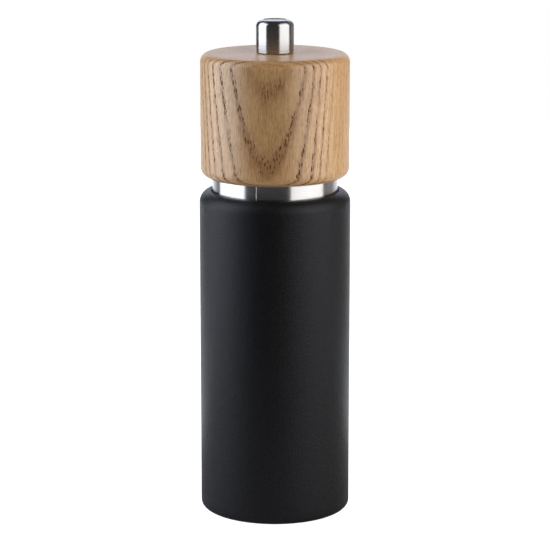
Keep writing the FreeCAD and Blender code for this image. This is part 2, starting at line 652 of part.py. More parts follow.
b = body("thrust_bush")
turn(b, "bush_turned", [
    (size(2.6), d("bush_flange_low")), (d("bush_flange_radius"), d("bush_flange_low")),
    (d("bush_flange_radius"), d("bush_flange_high")), (d("bush_outer"), d("bush_flange_high")),
    (d("bush_outer"), d("bush_high")), (size(2.6), d("bush_high"))])
s = square(sketch(b, "bush_square_sketch", "XY_Plane", d("bush_flange_low") - 1), d("square_side") + d("square_play"))
pad(b, "bush_square", s, d("bush_high") - d("bush_flange_low") + 2, cut=True)

# ---------------------------------------------------------------- knob, insert and friction ring
b = body("knob")
turn(b, "knob_turned", [
    (size(0.0), d("head_top") + d("knob_gap")), (d("knob_radius"), d("head_top") + d("knob_gap")),
    (d("knob_radius"), d("knob_top")), (d("dish_radius"), d("knob_top")),
    (d("dish_radius") - 0.3, d("knob_top") - d("dish_depth")), (size(0.0), d("knob_top") - d("dish_depth"))])
round_edge(b, "knob_upper_edge", d("knob_fillet"), d("knob_radius"), d("knob_top"))
round_edge(b, "knob_lower_edge", size(0.25), d("knob_radius"), d("head_top") + d("knob_gap"), chamfer=True)
s = circle(sketch(b, "knob_bore_sketch", "XY_Plane", d("head_top")), d("knob_bore"))
pad(b, "knob_blind_bore", s, d("knob_bore_high") - d("head_top"), cut=True)
s = circle(sketch(b, "knob_groove_sketch", "XY_Plane", d("head_top")), d("ring_groove"))
pad(b, "knob_ring_groove", s, d("ring_groove_high") - d("head_top"), cut=True)

ring("knob_thread_insert", d("insert_inner"), d("insert_outer"), d("insert_low"), d("insert_high"))
ring("knob_friction_ring", d("ring_inner"), d("ring_outer"), d("ring_low"), d("ring_high"))

# ---------------------------------------------------------------- checks and files
doc.recompute()
faults = []
for o in doc.Objects:
    if any(word in ("Invalid", "Error") for word in o.State):
        faults.append("%s: %s" % (o.Label, o.State))
for p in subparts:
    if p.Shape is None or p.Shape.isNull() or not p.Shape.isValid() or not p.Shape.Solids:
        faults.append("%s: bad shape" % p.Label)
labels = [p.Label for p in subparts]
if len(set(labels)) != len(labels):
    faults.append("two sub-parts share a label")
if faults:
    raise SystemExit("\n".join(faults))
for p in subparts:
    p.Shape.exportStep("parts/%s.step" % p.Label)
    box = p.Shape.BoundBox
    print("%-20s solids %d volume %9.1f  z %.2f..%.2f  r %.2f" % (
        p.Label, len(p.Shape.Solids), p.Shape.Volume, box.ZMin, box.ZMax, max(box.XMax, box.YMax)))
print(len(subparts), "nodes")
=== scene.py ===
import bpy
import math
import json
import random
import numpy as np
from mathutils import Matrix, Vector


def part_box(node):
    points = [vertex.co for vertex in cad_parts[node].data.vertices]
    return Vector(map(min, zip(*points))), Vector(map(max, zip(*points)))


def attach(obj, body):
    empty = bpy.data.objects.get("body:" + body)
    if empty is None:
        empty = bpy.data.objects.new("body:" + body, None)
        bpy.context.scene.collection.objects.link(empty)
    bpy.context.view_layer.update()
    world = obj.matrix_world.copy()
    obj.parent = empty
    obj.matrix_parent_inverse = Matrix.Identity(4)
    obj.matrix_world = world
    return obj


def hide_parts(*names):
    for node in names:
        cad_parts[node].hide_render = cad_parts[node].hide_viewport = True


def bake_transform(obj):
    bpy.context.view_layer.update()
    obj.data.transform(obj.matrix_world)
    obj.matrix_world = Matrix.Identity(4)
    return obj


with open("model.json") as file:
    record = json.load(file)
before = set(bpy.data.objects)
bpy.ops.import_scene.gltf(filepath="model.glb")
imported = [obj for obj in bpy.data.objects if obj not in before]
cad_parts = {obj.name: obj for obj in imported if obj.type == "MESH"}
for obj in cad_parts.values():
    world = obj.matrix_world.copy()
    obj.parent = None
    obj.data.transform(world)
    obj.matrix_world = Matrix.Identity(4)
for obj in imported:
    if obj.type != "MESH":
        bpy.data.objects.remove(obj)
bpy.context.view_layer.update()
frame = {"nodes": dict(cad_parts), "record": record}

MM = 0.001
random.seed(7)


# ------------------------------------------------------------------ sizes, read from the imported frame
def low(node):
    return [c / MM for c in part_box(node)[0]]


def high(node):
    return [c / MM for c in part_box(node)[1]]


R_BODY = high("mill_body")[0]
Z_RIM = high("mill_body")[2]
R_HEAD = high("head")[0]
Z_HEAD = high("head")[2]
Z_SPIGOT = low("head")[2]
R_COLLAR = high("head_collar")[0]
Z_COLLAR0, Z_COLLAR1 = low("head_collar")[2], high("head_collar")[2]
R_KNOB = high("knob")[0]
Z_KNOB0, Z_KNOB1 = low("knob")[2], high("knob")[2]


# ------------------------------------------------------------------ camera
cam_data = bpy.data.cameras.new("camera")
cam = bpy.data.objects.new("camera", cam_data)
bpy.context.scene.collection.objects.link(cam)
cam_data.sensor_width = 36.0
cam_data.lens = 157.8
cam.location = (0.0, -0.8585, 0.2760)
cam.rotation_euler = (math.radians(90.0 - 12.43), 0.0, 0.0)
cam_data.clip_start, cam_data.clip_end = 0.05, 20.0
bpy.context.scene.camera = cam


# ------------------------------------------------------------------ node trees
class Nodes:
    """Small helper: the same pattern can be built in a material or in a geometry tree."""

    def __init__(self, tree):
        self.tree = tree

    def new(self, kind, **props):
        n = self.tree.nodes.new(kind)
        for k, v in props.items():
            setattr(n, k, v)
        return n

    def put(self, socket, value):
        if isinstance(value, bpy.types.NodeSocket):
            self.tree.links.new(value, socket)
        elif isinstance(value, (tuple, list)) and len(value) == 3 and socket.type == "RGBA":
            socket.default_value = (*value, 1.0)
        else:
            socket.default_value = value

    def math(self, op, a, b=None, c=None, clamp=False):
        n = self.new("ShaderNodeMath", operation=op, use_clamp=clamp)
        for s, v in zip(n.inputs, (a, b, c)):
            if v is not None:
                self.put(s, v)
        return n.outputs[0]

    def add(self, a, b):
        return self.math("ADD", a, b)

    def sub(self, a, b):
        return self.math("SUBTRACT", a, b)

    def mul(self, a, b):
        return self.math("MULTIPLY", a, b)

    def split(self, v):
        n = self.new("ShaderNodeSeparateXYZ")
        self.put(n.inputs[0], v)
        return n.outputs[0], n.outputs[1], n.outputs[2]

    def join(self, x, y, z):
        n = self.new("ShaderNodeCombineXYZ")
        for s, v in zip(n.inputs, (x, y, z)):
            self.put(s, v)
        return n.outputs[0]

    def scaled(self, v, k):
        n = self.new("ShaderNodeVectorMath", operation="SCALE")
        self.put(n.inputs[0], v)
        self.put(n.inputs["Scale"], k)
        return n.outputs[0]

    def times(self, v, xyz):
        n = self.new("ShaderNodeVectorMath", operation="MULTIPLY")
        self.put(n.inputs[0], v)
        n.inputs[1].default_value = xyz
        return n.outputs[0]

    def noise(self, v, scale=1.0, detail=2.0, rough=0.5, lac=2.0, colour=False):
        n = self.new("ShaderNodeTexNoise")
        self.put(n.inputs["Vector"], v)
        n.inputs["Scale"].default_value = scale
        n.inputs["Detail"].default_value = detail
        n.inputs["Roughness"].default_value = rough
        n.inputs["Lacunarity"].default_value = lac
        return n.outputs[1] if colour else n.outputs[0]

    def cells(self, v, scale=1.0, randomness=1.0, feature="F1"):
        n = self.new("ShaderNodeTexVoronoi", feature=feature)
        self.put(n.inputs["Vector"], v)
        n.inputs["Scale"].default_value = scale
        n.inputs["Randomness"].default_value = randomness
        return n.outputs["Distance"], n.outputs["Color"] if "Color" in n.outputs else None

    def span(self, v, a, b, c=0.0, d=1.0, smooth=True):
        n = self.new("ShaderNodeMapRange", interpolation_type="SMOOTHSTEP" if smooth else "LINEAR")
        n.clamp = True
        self.put(n.inputs[0], v)
        for s, x in zip(n.inputs[1:5], (a, b, c, d)):
            self.put(s, x)
        return n.outputs[0]


class Material(Nodes):
    def __init__(self, name, **uniform):
        self.mat = bpy.data.materials.new(name)
        self.mat.use_nodes = True
        super().__init__(self.mat.node_tree)
        self.tree.nodes.clear()
        self.out = self.new("ShaderNodeOutputMaterial")
        self.bsdf = self.new("ShaderNodeBsdfPrincipled")
        self.tree.links.new(self.bsdf.outputs[0], self.out.inputs[0])
        for k, v in uniform.items():
            self.put(self.bsdf.inputs[k.replace("_", " ")], v)
        self.object = self.new("ShaderNodeTexCoord").outputs["Object"]
        self.mm = self.scaled(self.object, 1000.0)

    def set(self, name, value):
        self.put(self.bsdf.inputs[name], value)

    def mix(self, t, a, b, mode="MIX"):
        n = self.new("ShaderNodeMix", data_type="RGBA", blend_type=mode)
        self.put(n.inputs[0], t)
        self.put(n.inputs[6], a)
        self.put(n.inputs[7], b)
        return n.outputs[2]

    def bump(self, height, distance, strength=1.0, normal=None):
        n = self.new("ShaderNodeBump")
        n.inputs["Strength"].default_value = strength
        n.inputs["Distance"].default_value = distance
        self.put(n.inputs["Height"], height)
        if normal is not None:
            self.put(n.inputs["Normal"], normal)
        return n.outputs[0]


# ------------------------------------------------------------------ oak: rings about a leaning pith, rows of long pores
PITH = (9.4, 60.0, 0.022, 0.063)      # pith axis at z = 145 mm and its lean
RING = 1.94                            # ring width, mm
FIRST = 88.93                          # distance of one pore row from the pith, mm


def oak_pattern(n, mm):
    x, y, z = n.split(mm)
    dz = n.sub(z, 145.0)
    xp = n.sub(n.sub(x, PITH[0]), n.mul(dz, PITH[2]))
    yp = n.sub(n.sub(y, PITH[1]), n.mul(dz, PITH[3]))
    slow = n.sub(n.noise(n.times(mm, (0.05, 0.05, 0.018)), detail=1.0), 0.5)
    wob = n.sub(n.noise(n.times(mm, (0.45, 0.45, 0.11)), detail=2.0), 0.5)
    s = n.math("SQRT", n.add(n.mul(xp, xp), n.mul(yp, yp)))
    s = n.add(s, n.add(n.mul(slow, 0.7), n.mul(wob, 0.40)))
    front = n.span(y, -19.5, -26.4, 0.0, 1.0)
    s = n.add(s, n.mul(front, n.add(n.add(0.49, n.mul(x, 0.035)), n.mul(n.sub(z, 131.0), 0.0087))))
    u = n.mul(n.sub(FIRST, s), 1.0 / RING)
    f = n.math("FRACT", n.add(u, 100.0))
    near = n.mul(n.math("ABSOLUTE", n.sub(n.math("FRACT", n.add(u, 100.5)), 0.5)), RING)
    grain = n.join(xp, yp, z)
    # large early-wood pores
    d, c = n.cells(n.times(grain, (2.15, 2.15, 0.52)), randomness=0.95)
    cr, cg, cb = n.split(c)
    reach = n.span(cr, 0.0, 1.0, 0.36, 0.64, smooth=False)
    pore = n.span(d, n.sub(reach, 0.15), reach, 1.0, 0.0)
    patch = n.span(n.noise(n.times(mm, (0.30, 0.30, 0.10)), detail=1.0), 0.28, 0.52, 0.55, 1.0)
    zone = n.mul(n.span(near, 0.12, 0.33, 1.0, 0.0), patch)
    zone = n.mul(zone, n.mul(n.span(x, 15.0, 21.0, 1.0, 0.14), n.span(s, 87.7, 88.3, 1.0, 0.62)))
    # painted shade: in the outermost front row the brown pore band stays only in a wedge at the front centre and fades
    # out to the sides, a darker patch standing for the shade there
    shade_wedge = n.span(n.math("ABSOLUTE", n.add(x, 0.4)), 3.0, 5.6, 0.0, 0.9)
    zone = n.mul(zone, n.sub(1.0, n.mul(n.span(s, 87.7, 88.2), shade_wedge)))
    rim = n.mul(n.span(z, 161.5, 163.5), n.span(n.math("ABSOLUTE", x), 7.0, 10.0, 1.0, 0.0))
    zone = n.mul(zone, n.sub(1.0, n.mul(n.mul(rim, front), 0.9)))
    zone = n.mul(zone, n.math("MAXIMUM", n.span(u, 4.8, 7.2, 1.0, 0.34), n.span(u, 13.5, 16.5, 0.0, 0.95)))
    row = n.mul(n.mul(pore, zone), n.span(cg, 0.10, 0.22, 0.0, 1.0))
    # small late-wood pores
    d2, c2 = n.cells(n.times(grain, (2.9, 2.9, 0.38)), randomness=1.0)
    c2r, c2g, c2b = n.split(c2)
    tiny = n.mul(n.span(d2, 0.10, 0.24, 1.0, 0.0), n.span(c2g, 0.52, 0.62, 0.0, 1.0))
    # in the V at the front the rows are cut at a flat angle: many small brown pores instead of few dark ones
    flat = n.span(s, 85.3, 86.3, 0.0, 1.0)
    row = n.mul(row, n.sub(1.0, n.mul(flat, 0.20)))
    tiny = n.math("MAXIMUM", tiny, n.mul(n.mul(n.span(d2, 0.16, 0.34, 1.0, 0.0), n.mul(zone, flat)), n.span(c2g, 0.15, 0.25, 0.0, 1.0)))
    return dict(x=x, y=y, z=z, s=s, f=f, near=near, zone=zone, row=row, tiny=tiny, cell=cb, grain=grain)


def make_oak():
    m = Material("oak", Sheen_Weight=0.05, Sheen_Roughness=0.4, Coat_Roughness=0.30)
    p = oak_pattern(m, m.mm)
    fibre = m.noise(m.times(p["grain"], (2.6, 2.6, 0.055)), detail=3.0, rough=0.6)
    fine = m.noise(m.times(p["grain"], (4.4, 4.4, 0.26)), detail=2.0, rough=0.65)
    short = m.noise(m.times(p["grain"], (2.3, 2.3, 0.50)), detail=2.0, rough=0.7)
    blotch = m.noise(m.times(m.mm, (0.07, 0.07, 0.03)), detail=2.0)
    late = m.span(p["f"], 0.0, 0.55, 1.0, 0.0)
    halo = m.span(p["near"], 0.10, 0.70, 1.0, 0.0)
    t = m.add(m.mul(m.sub(fibre, 0.5), 2.0), m.mul(m.sub(fine, 0.5), 2.0))
    t = m.add(t, m.mul(m.sub(short, 0.5), 1.5))
    edge = m.span(p["x"], 14.0, 21.0, 1.0, 0.40)
    t = m.add(t, m.mul(edge, m.add(m.mul(late, 0.22), m.mul(halo, 0.22))))
    t = m.math("ADD", t, m.add(m.mul(m.sub(blotch, 0.5), 0.4), 0.25), clamp=True)
    wood = m.mix(t, (0.820, 0.500, 0.224), (0.392, 0.178, 0.046))
    # painted shade: darker brown mixed in towards the front of the head, further from the pith, standing for the shade
    # on the front
    front_shade = m.mul(m.span(p["s"], 81.5, 87.8), 0.40)
    wood = m.mix(front_shade, wood, (0.330, 0.168, 0.055))
    # silky flecks
    d3, c3 = m.cells(m.times(p["grain"], (1.3, 4.5, 0.34)), randomness=1.0)
    fleck = m.mul(m.span(d3, 0.10, 0.30, 1.0, 0.0), 0.16)
    wood = m.mix(fleck, wood, (0.62, 0.45, 0.29))
    dark = m.math("ADD", m.mul(p["row"], 0.97), m.mul(p["tiny"], 0.64), clamp=True)
    wood = m.mix(m.mul(p["zone"], 0.52), wood, (0.31, 0.130, 0.032))
    wood = m.mix(dark, wood, (0.052, 0.024, 0.009))
    m.set("Base Color", wood)
    m.set("Coat Weight", m.span(m.add(p["row"], p["tiny"]), 0.10, 0.50, 0.22, 0.0))
    m.set("Specular IOR Level", m.span(p["row"], 0.15, 0.65, 1.0, 0.12))
    m.set("Roughness", m.math("ADD", m.add(0.35, m.mul(fine, 0.10)), m.mul(p["row"], 0.3), clamp=True))
    height = m.sub(m.mul(fine, 0.10), m.add(p["row"], m.mul(p["tiny"], 0.45)))
    height = m.add(height, m.add(m.mul(fibre, 0.12), m.mul(short, 0.22)))
    m.set("Normal", m.bump(height, 0.00007, 0.8))
    return m.mat


# ------------------------------------------------------------------ metals
def make_steel(name, colour, rough, line_scale, line_depth, aniso, smear=0.012):
    """Steel worked round the mill's axis: fine lines along the turning direction."""
    m = Material(name, Metallic=1.0, Anisotropic=aniso, Anisotropic_Rotation=0.25)
    lines = m.noise(m.times(m.mm, (smear, smear, line_scale)), detail=4.0, rough=0.75)
    broad = m.noise(m.times(m.mm, (smear * 2, smear * 2, line_scale * 0.16)), detail=2.0)
    cloud = m.noise(m.times(m.mm, (0.25, 0.25, 0.25)), detail=3.0)
    t = m.math("ADD", m.mul(lines, 0.7), m.mul(broad, 0.3))
    m.set("Base Color", m.mix(t, [c * 0.86 for c in colour], [min(1.0, c * 1.10) for c in colour]))
    m.set("Roughness", m.add(m.add(rough, m.mul(m.sub(lines, 0.5), 0.16)), m.mul(m.sub(cloud, 0.5), 0.05)))
    m.set("Normal", m.bump(m.add(lines, m.mul(broad, 0.5)), line_depth, 0.6))
    tangent = m.new("ShaderNodeTangent", direction_type="RADIAL", axis="Z")
    m.set("Tangent", tangent.outputs[0])
    return m.mat


def make_plate_metal(name, colour, rough, metal=1.0):
    """Plated or drawn steel and brass: cloudy plating, faint scratches."""
    m = Material(name, Metallic=metal)
    cloud = m.noise(m.mm, scale=0.8, detail=4.0, rough=0.6)
    grit = m.noise(m.mm, scale=9.0, detail=2.0)
    scratch = m.noise(m.times(m.mm, (0.4, 6.0, 0.4)), detail=3.0, rough=0.7)
    t = m.math("ADD", m.mul(cloud, 0.6), m.mul(grit, 0.4))
    m.set("Base Color", m.mix(t, [c * 0.72 for c in colour], [min(1.0, c * 1.12) for c in colour]))
    m.set("Roughness", m.add(rough, m.mul(m.sub(cloud, 0.5), 0.22)))
    m.set("Normal", m.bump(m.add(grit, scratch), 0.00001, 0.6))
    return m.mat


def make_plastic(name, colour, rough, grain, depth):
    m = Material(name)
    fine = m.noise(m.mm, scale=grain, detail=3.0, rough=0.6)
    cloud = m.noise(m.mm, scale=0.35, detail=3.0)
    m.set("Base Color", m.mix(m.add(m.mul(cloud, 0.6), m.mul(fine, 0.4)), [c * 0.80 for c in colour], [min(1.0, c * 1.15) for c in colour]))
    m.set("Roughness", m.add(rough, m.mul(m.sub(fine, 0.5), 0.18)))
    m.set("Normal", m.bump(fine, depth, 0.6))
    return m.mat


def make_lacquer():
    """Satin black lacquer on turned wood: a fine pebbled skin with faint turning rings under it."""
    m = Material("black_lacquer", Specular_IOR_Level=0.325, Specular_Tint=(0.86, 0.90, 1.0))
    pebble = m.noise(m.mm, scale=1.7, detail=3.0, rough=0.62)
    fine = m.noise(m.mm, scale=6.5, detail=2.0, rough=0.6)
    cloud = m.noise(m.times(m.mm, (0.12, 0.12, 0.03)), detail=3.0)
    m.set("Base Color", m.mix(m.add(m.mul(pebble, 0.5), m.mul(cloud, 0.5)), (0.0030, 0.0027, 0.0026), (0.0062, 0.0056, 0.0054)))
    m.set("Roughness", m.add(m.add(0.385, m.mul(m.sub(pebble, 0.5), 0.34)), m.mul(m.sub(cloud, 0.5), 0.10)))
    m.set("Normal", m.bump(m.add(pebble, m.mul(fine, 0.45)), 0.00013, 0.85))
    return m.mat


def make_ceramic():
    m = Material("ceramic", Specular_IOR_Level=0.5)
    grit = m.noise(m.mm, scale=7.0, detail=3.0)
    cloud = m.noise(m.mm, scale=0.5, detail=3.0)
    d, c = m.cells(m.mm, scale=2.6)
    speck = m.mul(m.span(d, 0.10, 0.22, 1.0, 0.0), 0.25)
    base = m.mix(cloud, (0.74, 0.70, 0.63), (0.86, 0.84, 0.79))
    m.set("Base Color", m.mix(speck, base, (0.45, 0.40, 0.33)))
    m.set("Roughness", m.add(0.34, m.mul(m.sub(grit, 0.5), 0.25)))
    m.set("Normal", m.bump(grit, 0.00002, 0.7))
    return m.mat


MAT = {
    "oak": make_oak(),
    "black_lacquer": make_lacquer(),
    "brushed_steel": make_steel("brushed_steel", (0.66, 0.655, 0.655), 0.24, 9.0, 0.000004, 0.92),
    "turned_steel": make_steel("turned_steel", (0.490, 0.490, 0.500), 0.21, 5.0, 0.000028, 0.90),
    "brass": make_plate_metal("brass", (0.78, 0.58, 0.27), 0.28),
    "zinc_steel": make_plate_metal("zinc_steel", (0.60, 0.61, 0.64), 0.32),
    "screw_steel": make_plate_metal("screw_steel", (0.58, 0.58, 0.60), 0.30),
    "spring_steel": make_plate_metal("spring_steel", (0.42, 0.42, 0.43), 0.30),
    "rubber": make_plastic("rubber", (0.022, 0.022, 0.022), 0.62, 5.0, 0.00003),
    "white_nylon": make_plastic("white_nylon", (0.74, 0.73, 0.69), 0.42, 4.0, 0.00002),
    "black_plastic": make_plastic("black_plastic", (0.020, 0.020, 0.021), 0.44, 3.6, 0.00004),
    "ceramic": make_ceramic(),
}
SLOT = {s["node"]: s["material_slot"] for s in frame["record"]["subparts"]}


# ------------------------------------------------------------------ mesh makers
def rounded(points, step=14.0):
    """Polygon of (r, z, radius): each corner with a radius becomes an arc."""
    out = []
    n = len(points)
    for i, (r, z, rad) in enumerate(points):
        if rad <= 0:
            out.append((r, z))
            continue
        p = np.array((r, z), float)
        a = np.array(points[i - 1][:2], float) - p
        b = np.array(points[(i + 1) % n][:2], float) - p
        a /= np.linalg.norm(a)
        b /= np.linalg.norm(b)
        half = math.acos(max(-1.0, min(1.0, float(a @ b)))) / 2
        cut = rad / math.tan(half)
        bis = a + b
        bis /= np.linalg.norm(bis)
        c = p + bis * (rad / math.sin(half))
        s, e = p + a * cut - c, p + b * cut - c
        turn = math.pi - 2 * half
        k = max(2, int(math.ceil(math.degrees(turn) / step)))
        for j in range(k + 1):
            w = j / k
            v = (math.sin((1 - w) * turn) * s + math.sin(w * turn) * e) / math.sin(turn)
            out.append(tuple(c + v))
    return out


def divided(points, pitch, where=None):
    """Closed polygon with long runs cut to a pitch (where(r, z) says where)."""
    out = []
    n = len(points)
    for i in range(n):
        p, q = np.array(points[i], float), np.array(points[(i + 1) % n], float)
        out.append(tuple(p))
        length = float(np.linalg.norm(q - p))
        mid = (p + q) / 2
        if where is None or where(*mid):
            k = int(math.ceil(length / pitch - 1e-6))
            for j in range(1, k):
                out.append(tuple(p + (q - p) * j / k))
    return out


def lathe(name, profile, seg, sharp=38.0, start=0.0, sweep=2 * math.pi):
    """Turn a closed profile of (r, z) in mm; points on the axis become poles."""
    prof = np.array(profile, float)
    n = len(prof)
    full = abs(sweep - 2 * math.pi) < 1e-9
    cols = seg if full else seg + 1
    ang = start + np.arange(cols) * sweep / seg
    axis = prof[:, 0] < 1e-7
    index = np.zeros((n, cols), int)
    verts = []
    for i in range(n):
        if axis[i]:
            index[i, :] = len(verts)
            verts.append((0.0, 0.0, prof[i, 1]))
        else:
            index[i, :] = len(verts) + np.arange(cols)
            verts.extend(zip(prof[i, 0] * np.cos(ang), prof[i, 0] * np.sin(ang), np.full(cols, prof[i, 1])))
    faces = []
    for i in range(n):
        k = (i + 1) % n
        if axis[i] and axis[k]:
            continue
        for j in range(seg):
            j2 = (j + 1) % cols if full else j + 1
            q = [index[i, j], index[i, j2], index[k, j2], index[k, j]]
            f = []
            for v in q:
                if v not in f:
                    f.append(int(v))
            if len(f) > 2:
                faces.append(f)
    if not full:
        faces.append([int(index[i, 0]) for i in range(n)])
        faces.append([int(index[i, cols - 1]) for i in range(n)][::-1])
    return finish_mesh(name, verts, faces, sharp)


def finish_mesh(name, verts, faces, sharp=38.0):
    mesh = bpy.data.meshes.new(name)
    mesh.from_pydata((np.array(verts, float) * MM).tolist(), [], faces)
    mesh.validate()
    # outward normals
    vol = 0.0
    co = np.array([v.co for v in mesh.vertices], float)
    mesh.calc_loop_triangles()
    tri = np.array([t.vertices[:] for t in mesh.loop_triangles], int)
    a, b, c = co[tri[:, 0]], co[tri[:, 1]], co[tri[:, 2]]
    vol = float(np.einsum("ij,ij->i", a, np.cross(b, c)).sum())
    if vol < 0:
        mesh.flip_normals()
    mesh.polygons.foreach_set("use_smooth", np.ones(len(mesh.polygons), bool))
    if sharp:
        mesh.set_sharp_from_angle(angle=math.radians(sharp))
    mesh.update()
    ob = bpy.data.objects.new(name, mesh)
    bpy.context.scene.collection.objects.link(ob)
    return ob


def piece(ob, body, mat, *nodes):
    ob.data.materials.clear()
    ob.data.materials.append(MAT[mat])
    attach(ob, body)
    if nodes:
        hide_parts(*nodes)
    return ob


# ------------------------------------------------------------------ mill body
def body_profile():
    shoulder = 4.55
    cr, cz = R_BODY - shoulder, Z_RIM + 0.2 - shoulder
    top = math.asin((Z_RIM - cz) / shoulder)
    pts = [(22.6, 0.0, 0.35), (R_BODY, 0.0, 2.1)]
    pts = rounded([(22.6, 3.8, 0.0)] + pts + [(R_BODY, 60.0, 0.0)])[:-1]
    k = 14
    for j in range(k + 1):
        a = top * j / k
        pts.append((cr + shoulder * math.cos(a), cz + shoulder * math.sin(a)))
    pts += [(23.42, Z_RIM), (23.25, Z_RIM - 0.05), (23.08, Z_RIM - 0.19), (23.0, Z_RIM - 0.42),
            (23.0, 109.0), (17.5, 109.0), (17.5, 3.8)]
    return pts


prof = divided(body_profile(), 2.0, lambda r, z: r > 27.0 or r < 18.0)
mill = piece(lathe("mill_body_lacquered", prof, 256), "body", "black_lacquer", "mill_body")


# ------------------------------------------------------------------ turning head, pores cut into its skin
def head_profile():
    pts = rounded([(4.9, Z_HEAD, 0.3), (R_HEAD, Z_HEAD, 3.0), (R_HEAD, 123.65, 3.3), (21.8, 123.65, 0.0),
                   (21.8, Z_SPIGOT, 0.5), (15.3, Z_SPIGOT, 0.2), (15.3, Z_SPIGOT + 4.0, 0.0),
                   (4.9, Z_SPIGOT + 4.0, 0.2)], step=9.0)
    return pts


def head_mesh():
    pts = head_profile()
    pts = divided(pts, 0.52, lambda r, z: z > 123.0 and r > 5.5)
    return lathe("head_oak", pts, 540, sharp=50.0)


def carve(ob, depth):
    """Sink the oak pattern's pores into the mesh, along its normals."""
    tree = bpy.data.node_groups.new("carve", "GeometryNodeTree")
    tree.interface.new_socket("Geometry", in_out="INPUT", socket_type="NodeSocketGeometry")
    tree.interface.new_socket("Geometry", in_out="OUTPUT", socket_type="NodeSocketGeometry")
    n = Nodes(tree)
    gin, gout = n.new("NodeGroupInput"), n.new("NodeGroupOutput")
    pos = n.new("GeometryNodeInputPosition").outputs[0]
    nor = n.new("GeometryNodeInputNormal").outputs[0]
    mm = n.scaled(pos, 1000.0)
    p = oak_pattern(n, mm)
    x, y, z = n.split(mm)
    r = n.math("SQRT", n.add(n.mul(x, x), n.mul(y, y)))
    show = n.mul(n.span(z, 123.8, 124.6), n.span(r, 5.6, 6.6))
    sunk = n.add(n.mul(p["row"], 1.0), n.add(n.mul(p["tiny"], 0.25), n.mul(p["zone"], 0.22)))
    move = n.new("GeometryNodeSetPosition")
    tree.links.new(gin.outputs[0], move.inputs["Geometry"])
    n.put(move.inputs["Offset"], n.scaled(nor, n.mul(n.mul(sunk, show), -depth)))
    tree.links.new(move.outputs[0], gout.inputs[0])
    mod = ob.modifiers.new("carve", "NODES")
    mod.node_group = tree
    dg = bpy.context.evaluated_depsgraph_get()
    made = bpy.data.meshes.new_from_object(ob.evaluated_get(dg), depsgraph=dg)
    old = ob.data
    ob.modifiers.clear()
    ob.data = made
    made.name = ob.name
    bpy.data.meshes.remove(old)
    bpy.data.node_groups.remove(tree)


head = head_mesh()
carve(head, 0.00007)
piece(head, "head", "oak", "head")


# ------------------------------------------------------------------ steel collar with its butt seam
def collar_mesh():
    seam = math.radians(252.8)
    seg = 360
    half = 0.07 / R_COLLAR
    prof = rounded([(21.84, Z_COLLAR0, 0.12), (R_COLLAR, Z_COLLAR0, 0.25), (R_COLLAR, Z_COLLAR1, 0.12), (21.84, Z_COLLAR1, 0.12)], step=20.0)
    prof = divided(prof, 0.16, lambda r, z: r > 22.6)
    rng = np.random.default_rng(5)
    wave = rng.normal(0, 0.0016, len(prof))
    prof = [(r - abs(w) if r > 22.6 else r, z) for (r, z), w in zip(prof, wave)]
    # columns crowd towards the seam so that its edges roll in
    ang = [half, half + 0.0012, half + 0.003, half + 0.006, half + 0.012]
    ang = ang + list(np.linspace(half + 0.03, 2 * math.pi - half - 0.03, seg)) + [2 * math.pi - a for a in reversed(ang)]
    drop = [0.16, 0.06, 0.02, 0.005, 0.0] + [0.0] * seg + [0.0, 0.005, 0.02, 0.06, 0.16]
    verts, faces = [], []
    m = len(prof)
    for a, d in zip(ang, drop):
        for r, z in prof:
            rr = r - d if r > 22.4 else r
            verts.append((rr * math.cos(seam + a), rr * math.sin(seam + a), z))
    for j in range(len(ang) - 1):
        for i in range(m):
            k = (i + 1) % m
            faces.append([j * m + i, (j + 1) * m + i, (j + 1) * m + k, j * m + k])
    faces.append(list(range(m)))
    faces.append(list(range((len(ang) - 1) * m, len(ang) * m))[::-1])
    return finish_mesh("head_collar_steel", verts, faces, 40.0)


piece(collar_mesh(), "head", "brushed_steel", "head_collar")


# ------------------------------------------------------------------ knob with its tool lines
def knob_mesh():
    z0, z1 = Z_KNOB0, Z_KNOB1
    pts = rounded([(0.0, z1 - 0.22, 0.0), (4.1, z1 - 0.22, 0.0), (4.4, z1, 0.0), (R_KNOB, z1, 2.1), (R_KNOB, z0, 0.22),
                   (6.06, z0, 0.0), (6.06, 169.65, 0.0),
                   (4.5, 169.65, 0.0), (4.5, 178.3, 0.3), (0.0, 178.3, 0.0)], step=6.0)
    pts = divided(pts, 0.11, lambda r, z: r > R_KNOB - 0.05 or (z > z1 - 0.23 and r < 5.5))
    rng = np.random.default_rng(11)
    out = []
    for r, z in pts:
        if r > R_KNOB - 0.1 and z0 + 0.4 < z:
            r -= abs(rng.normal(0, 0.0045))
        elif z > z1 - 0.23 and 0.2 < r < 5.0:
            z -= abs(rng.normal(0, 0.0030))
        out.append((r, z))
    return lathe("knob_steel", out, 160, sharp=40.0)


piece(knob_mesh(), "knob", "turned_steel", "knob")


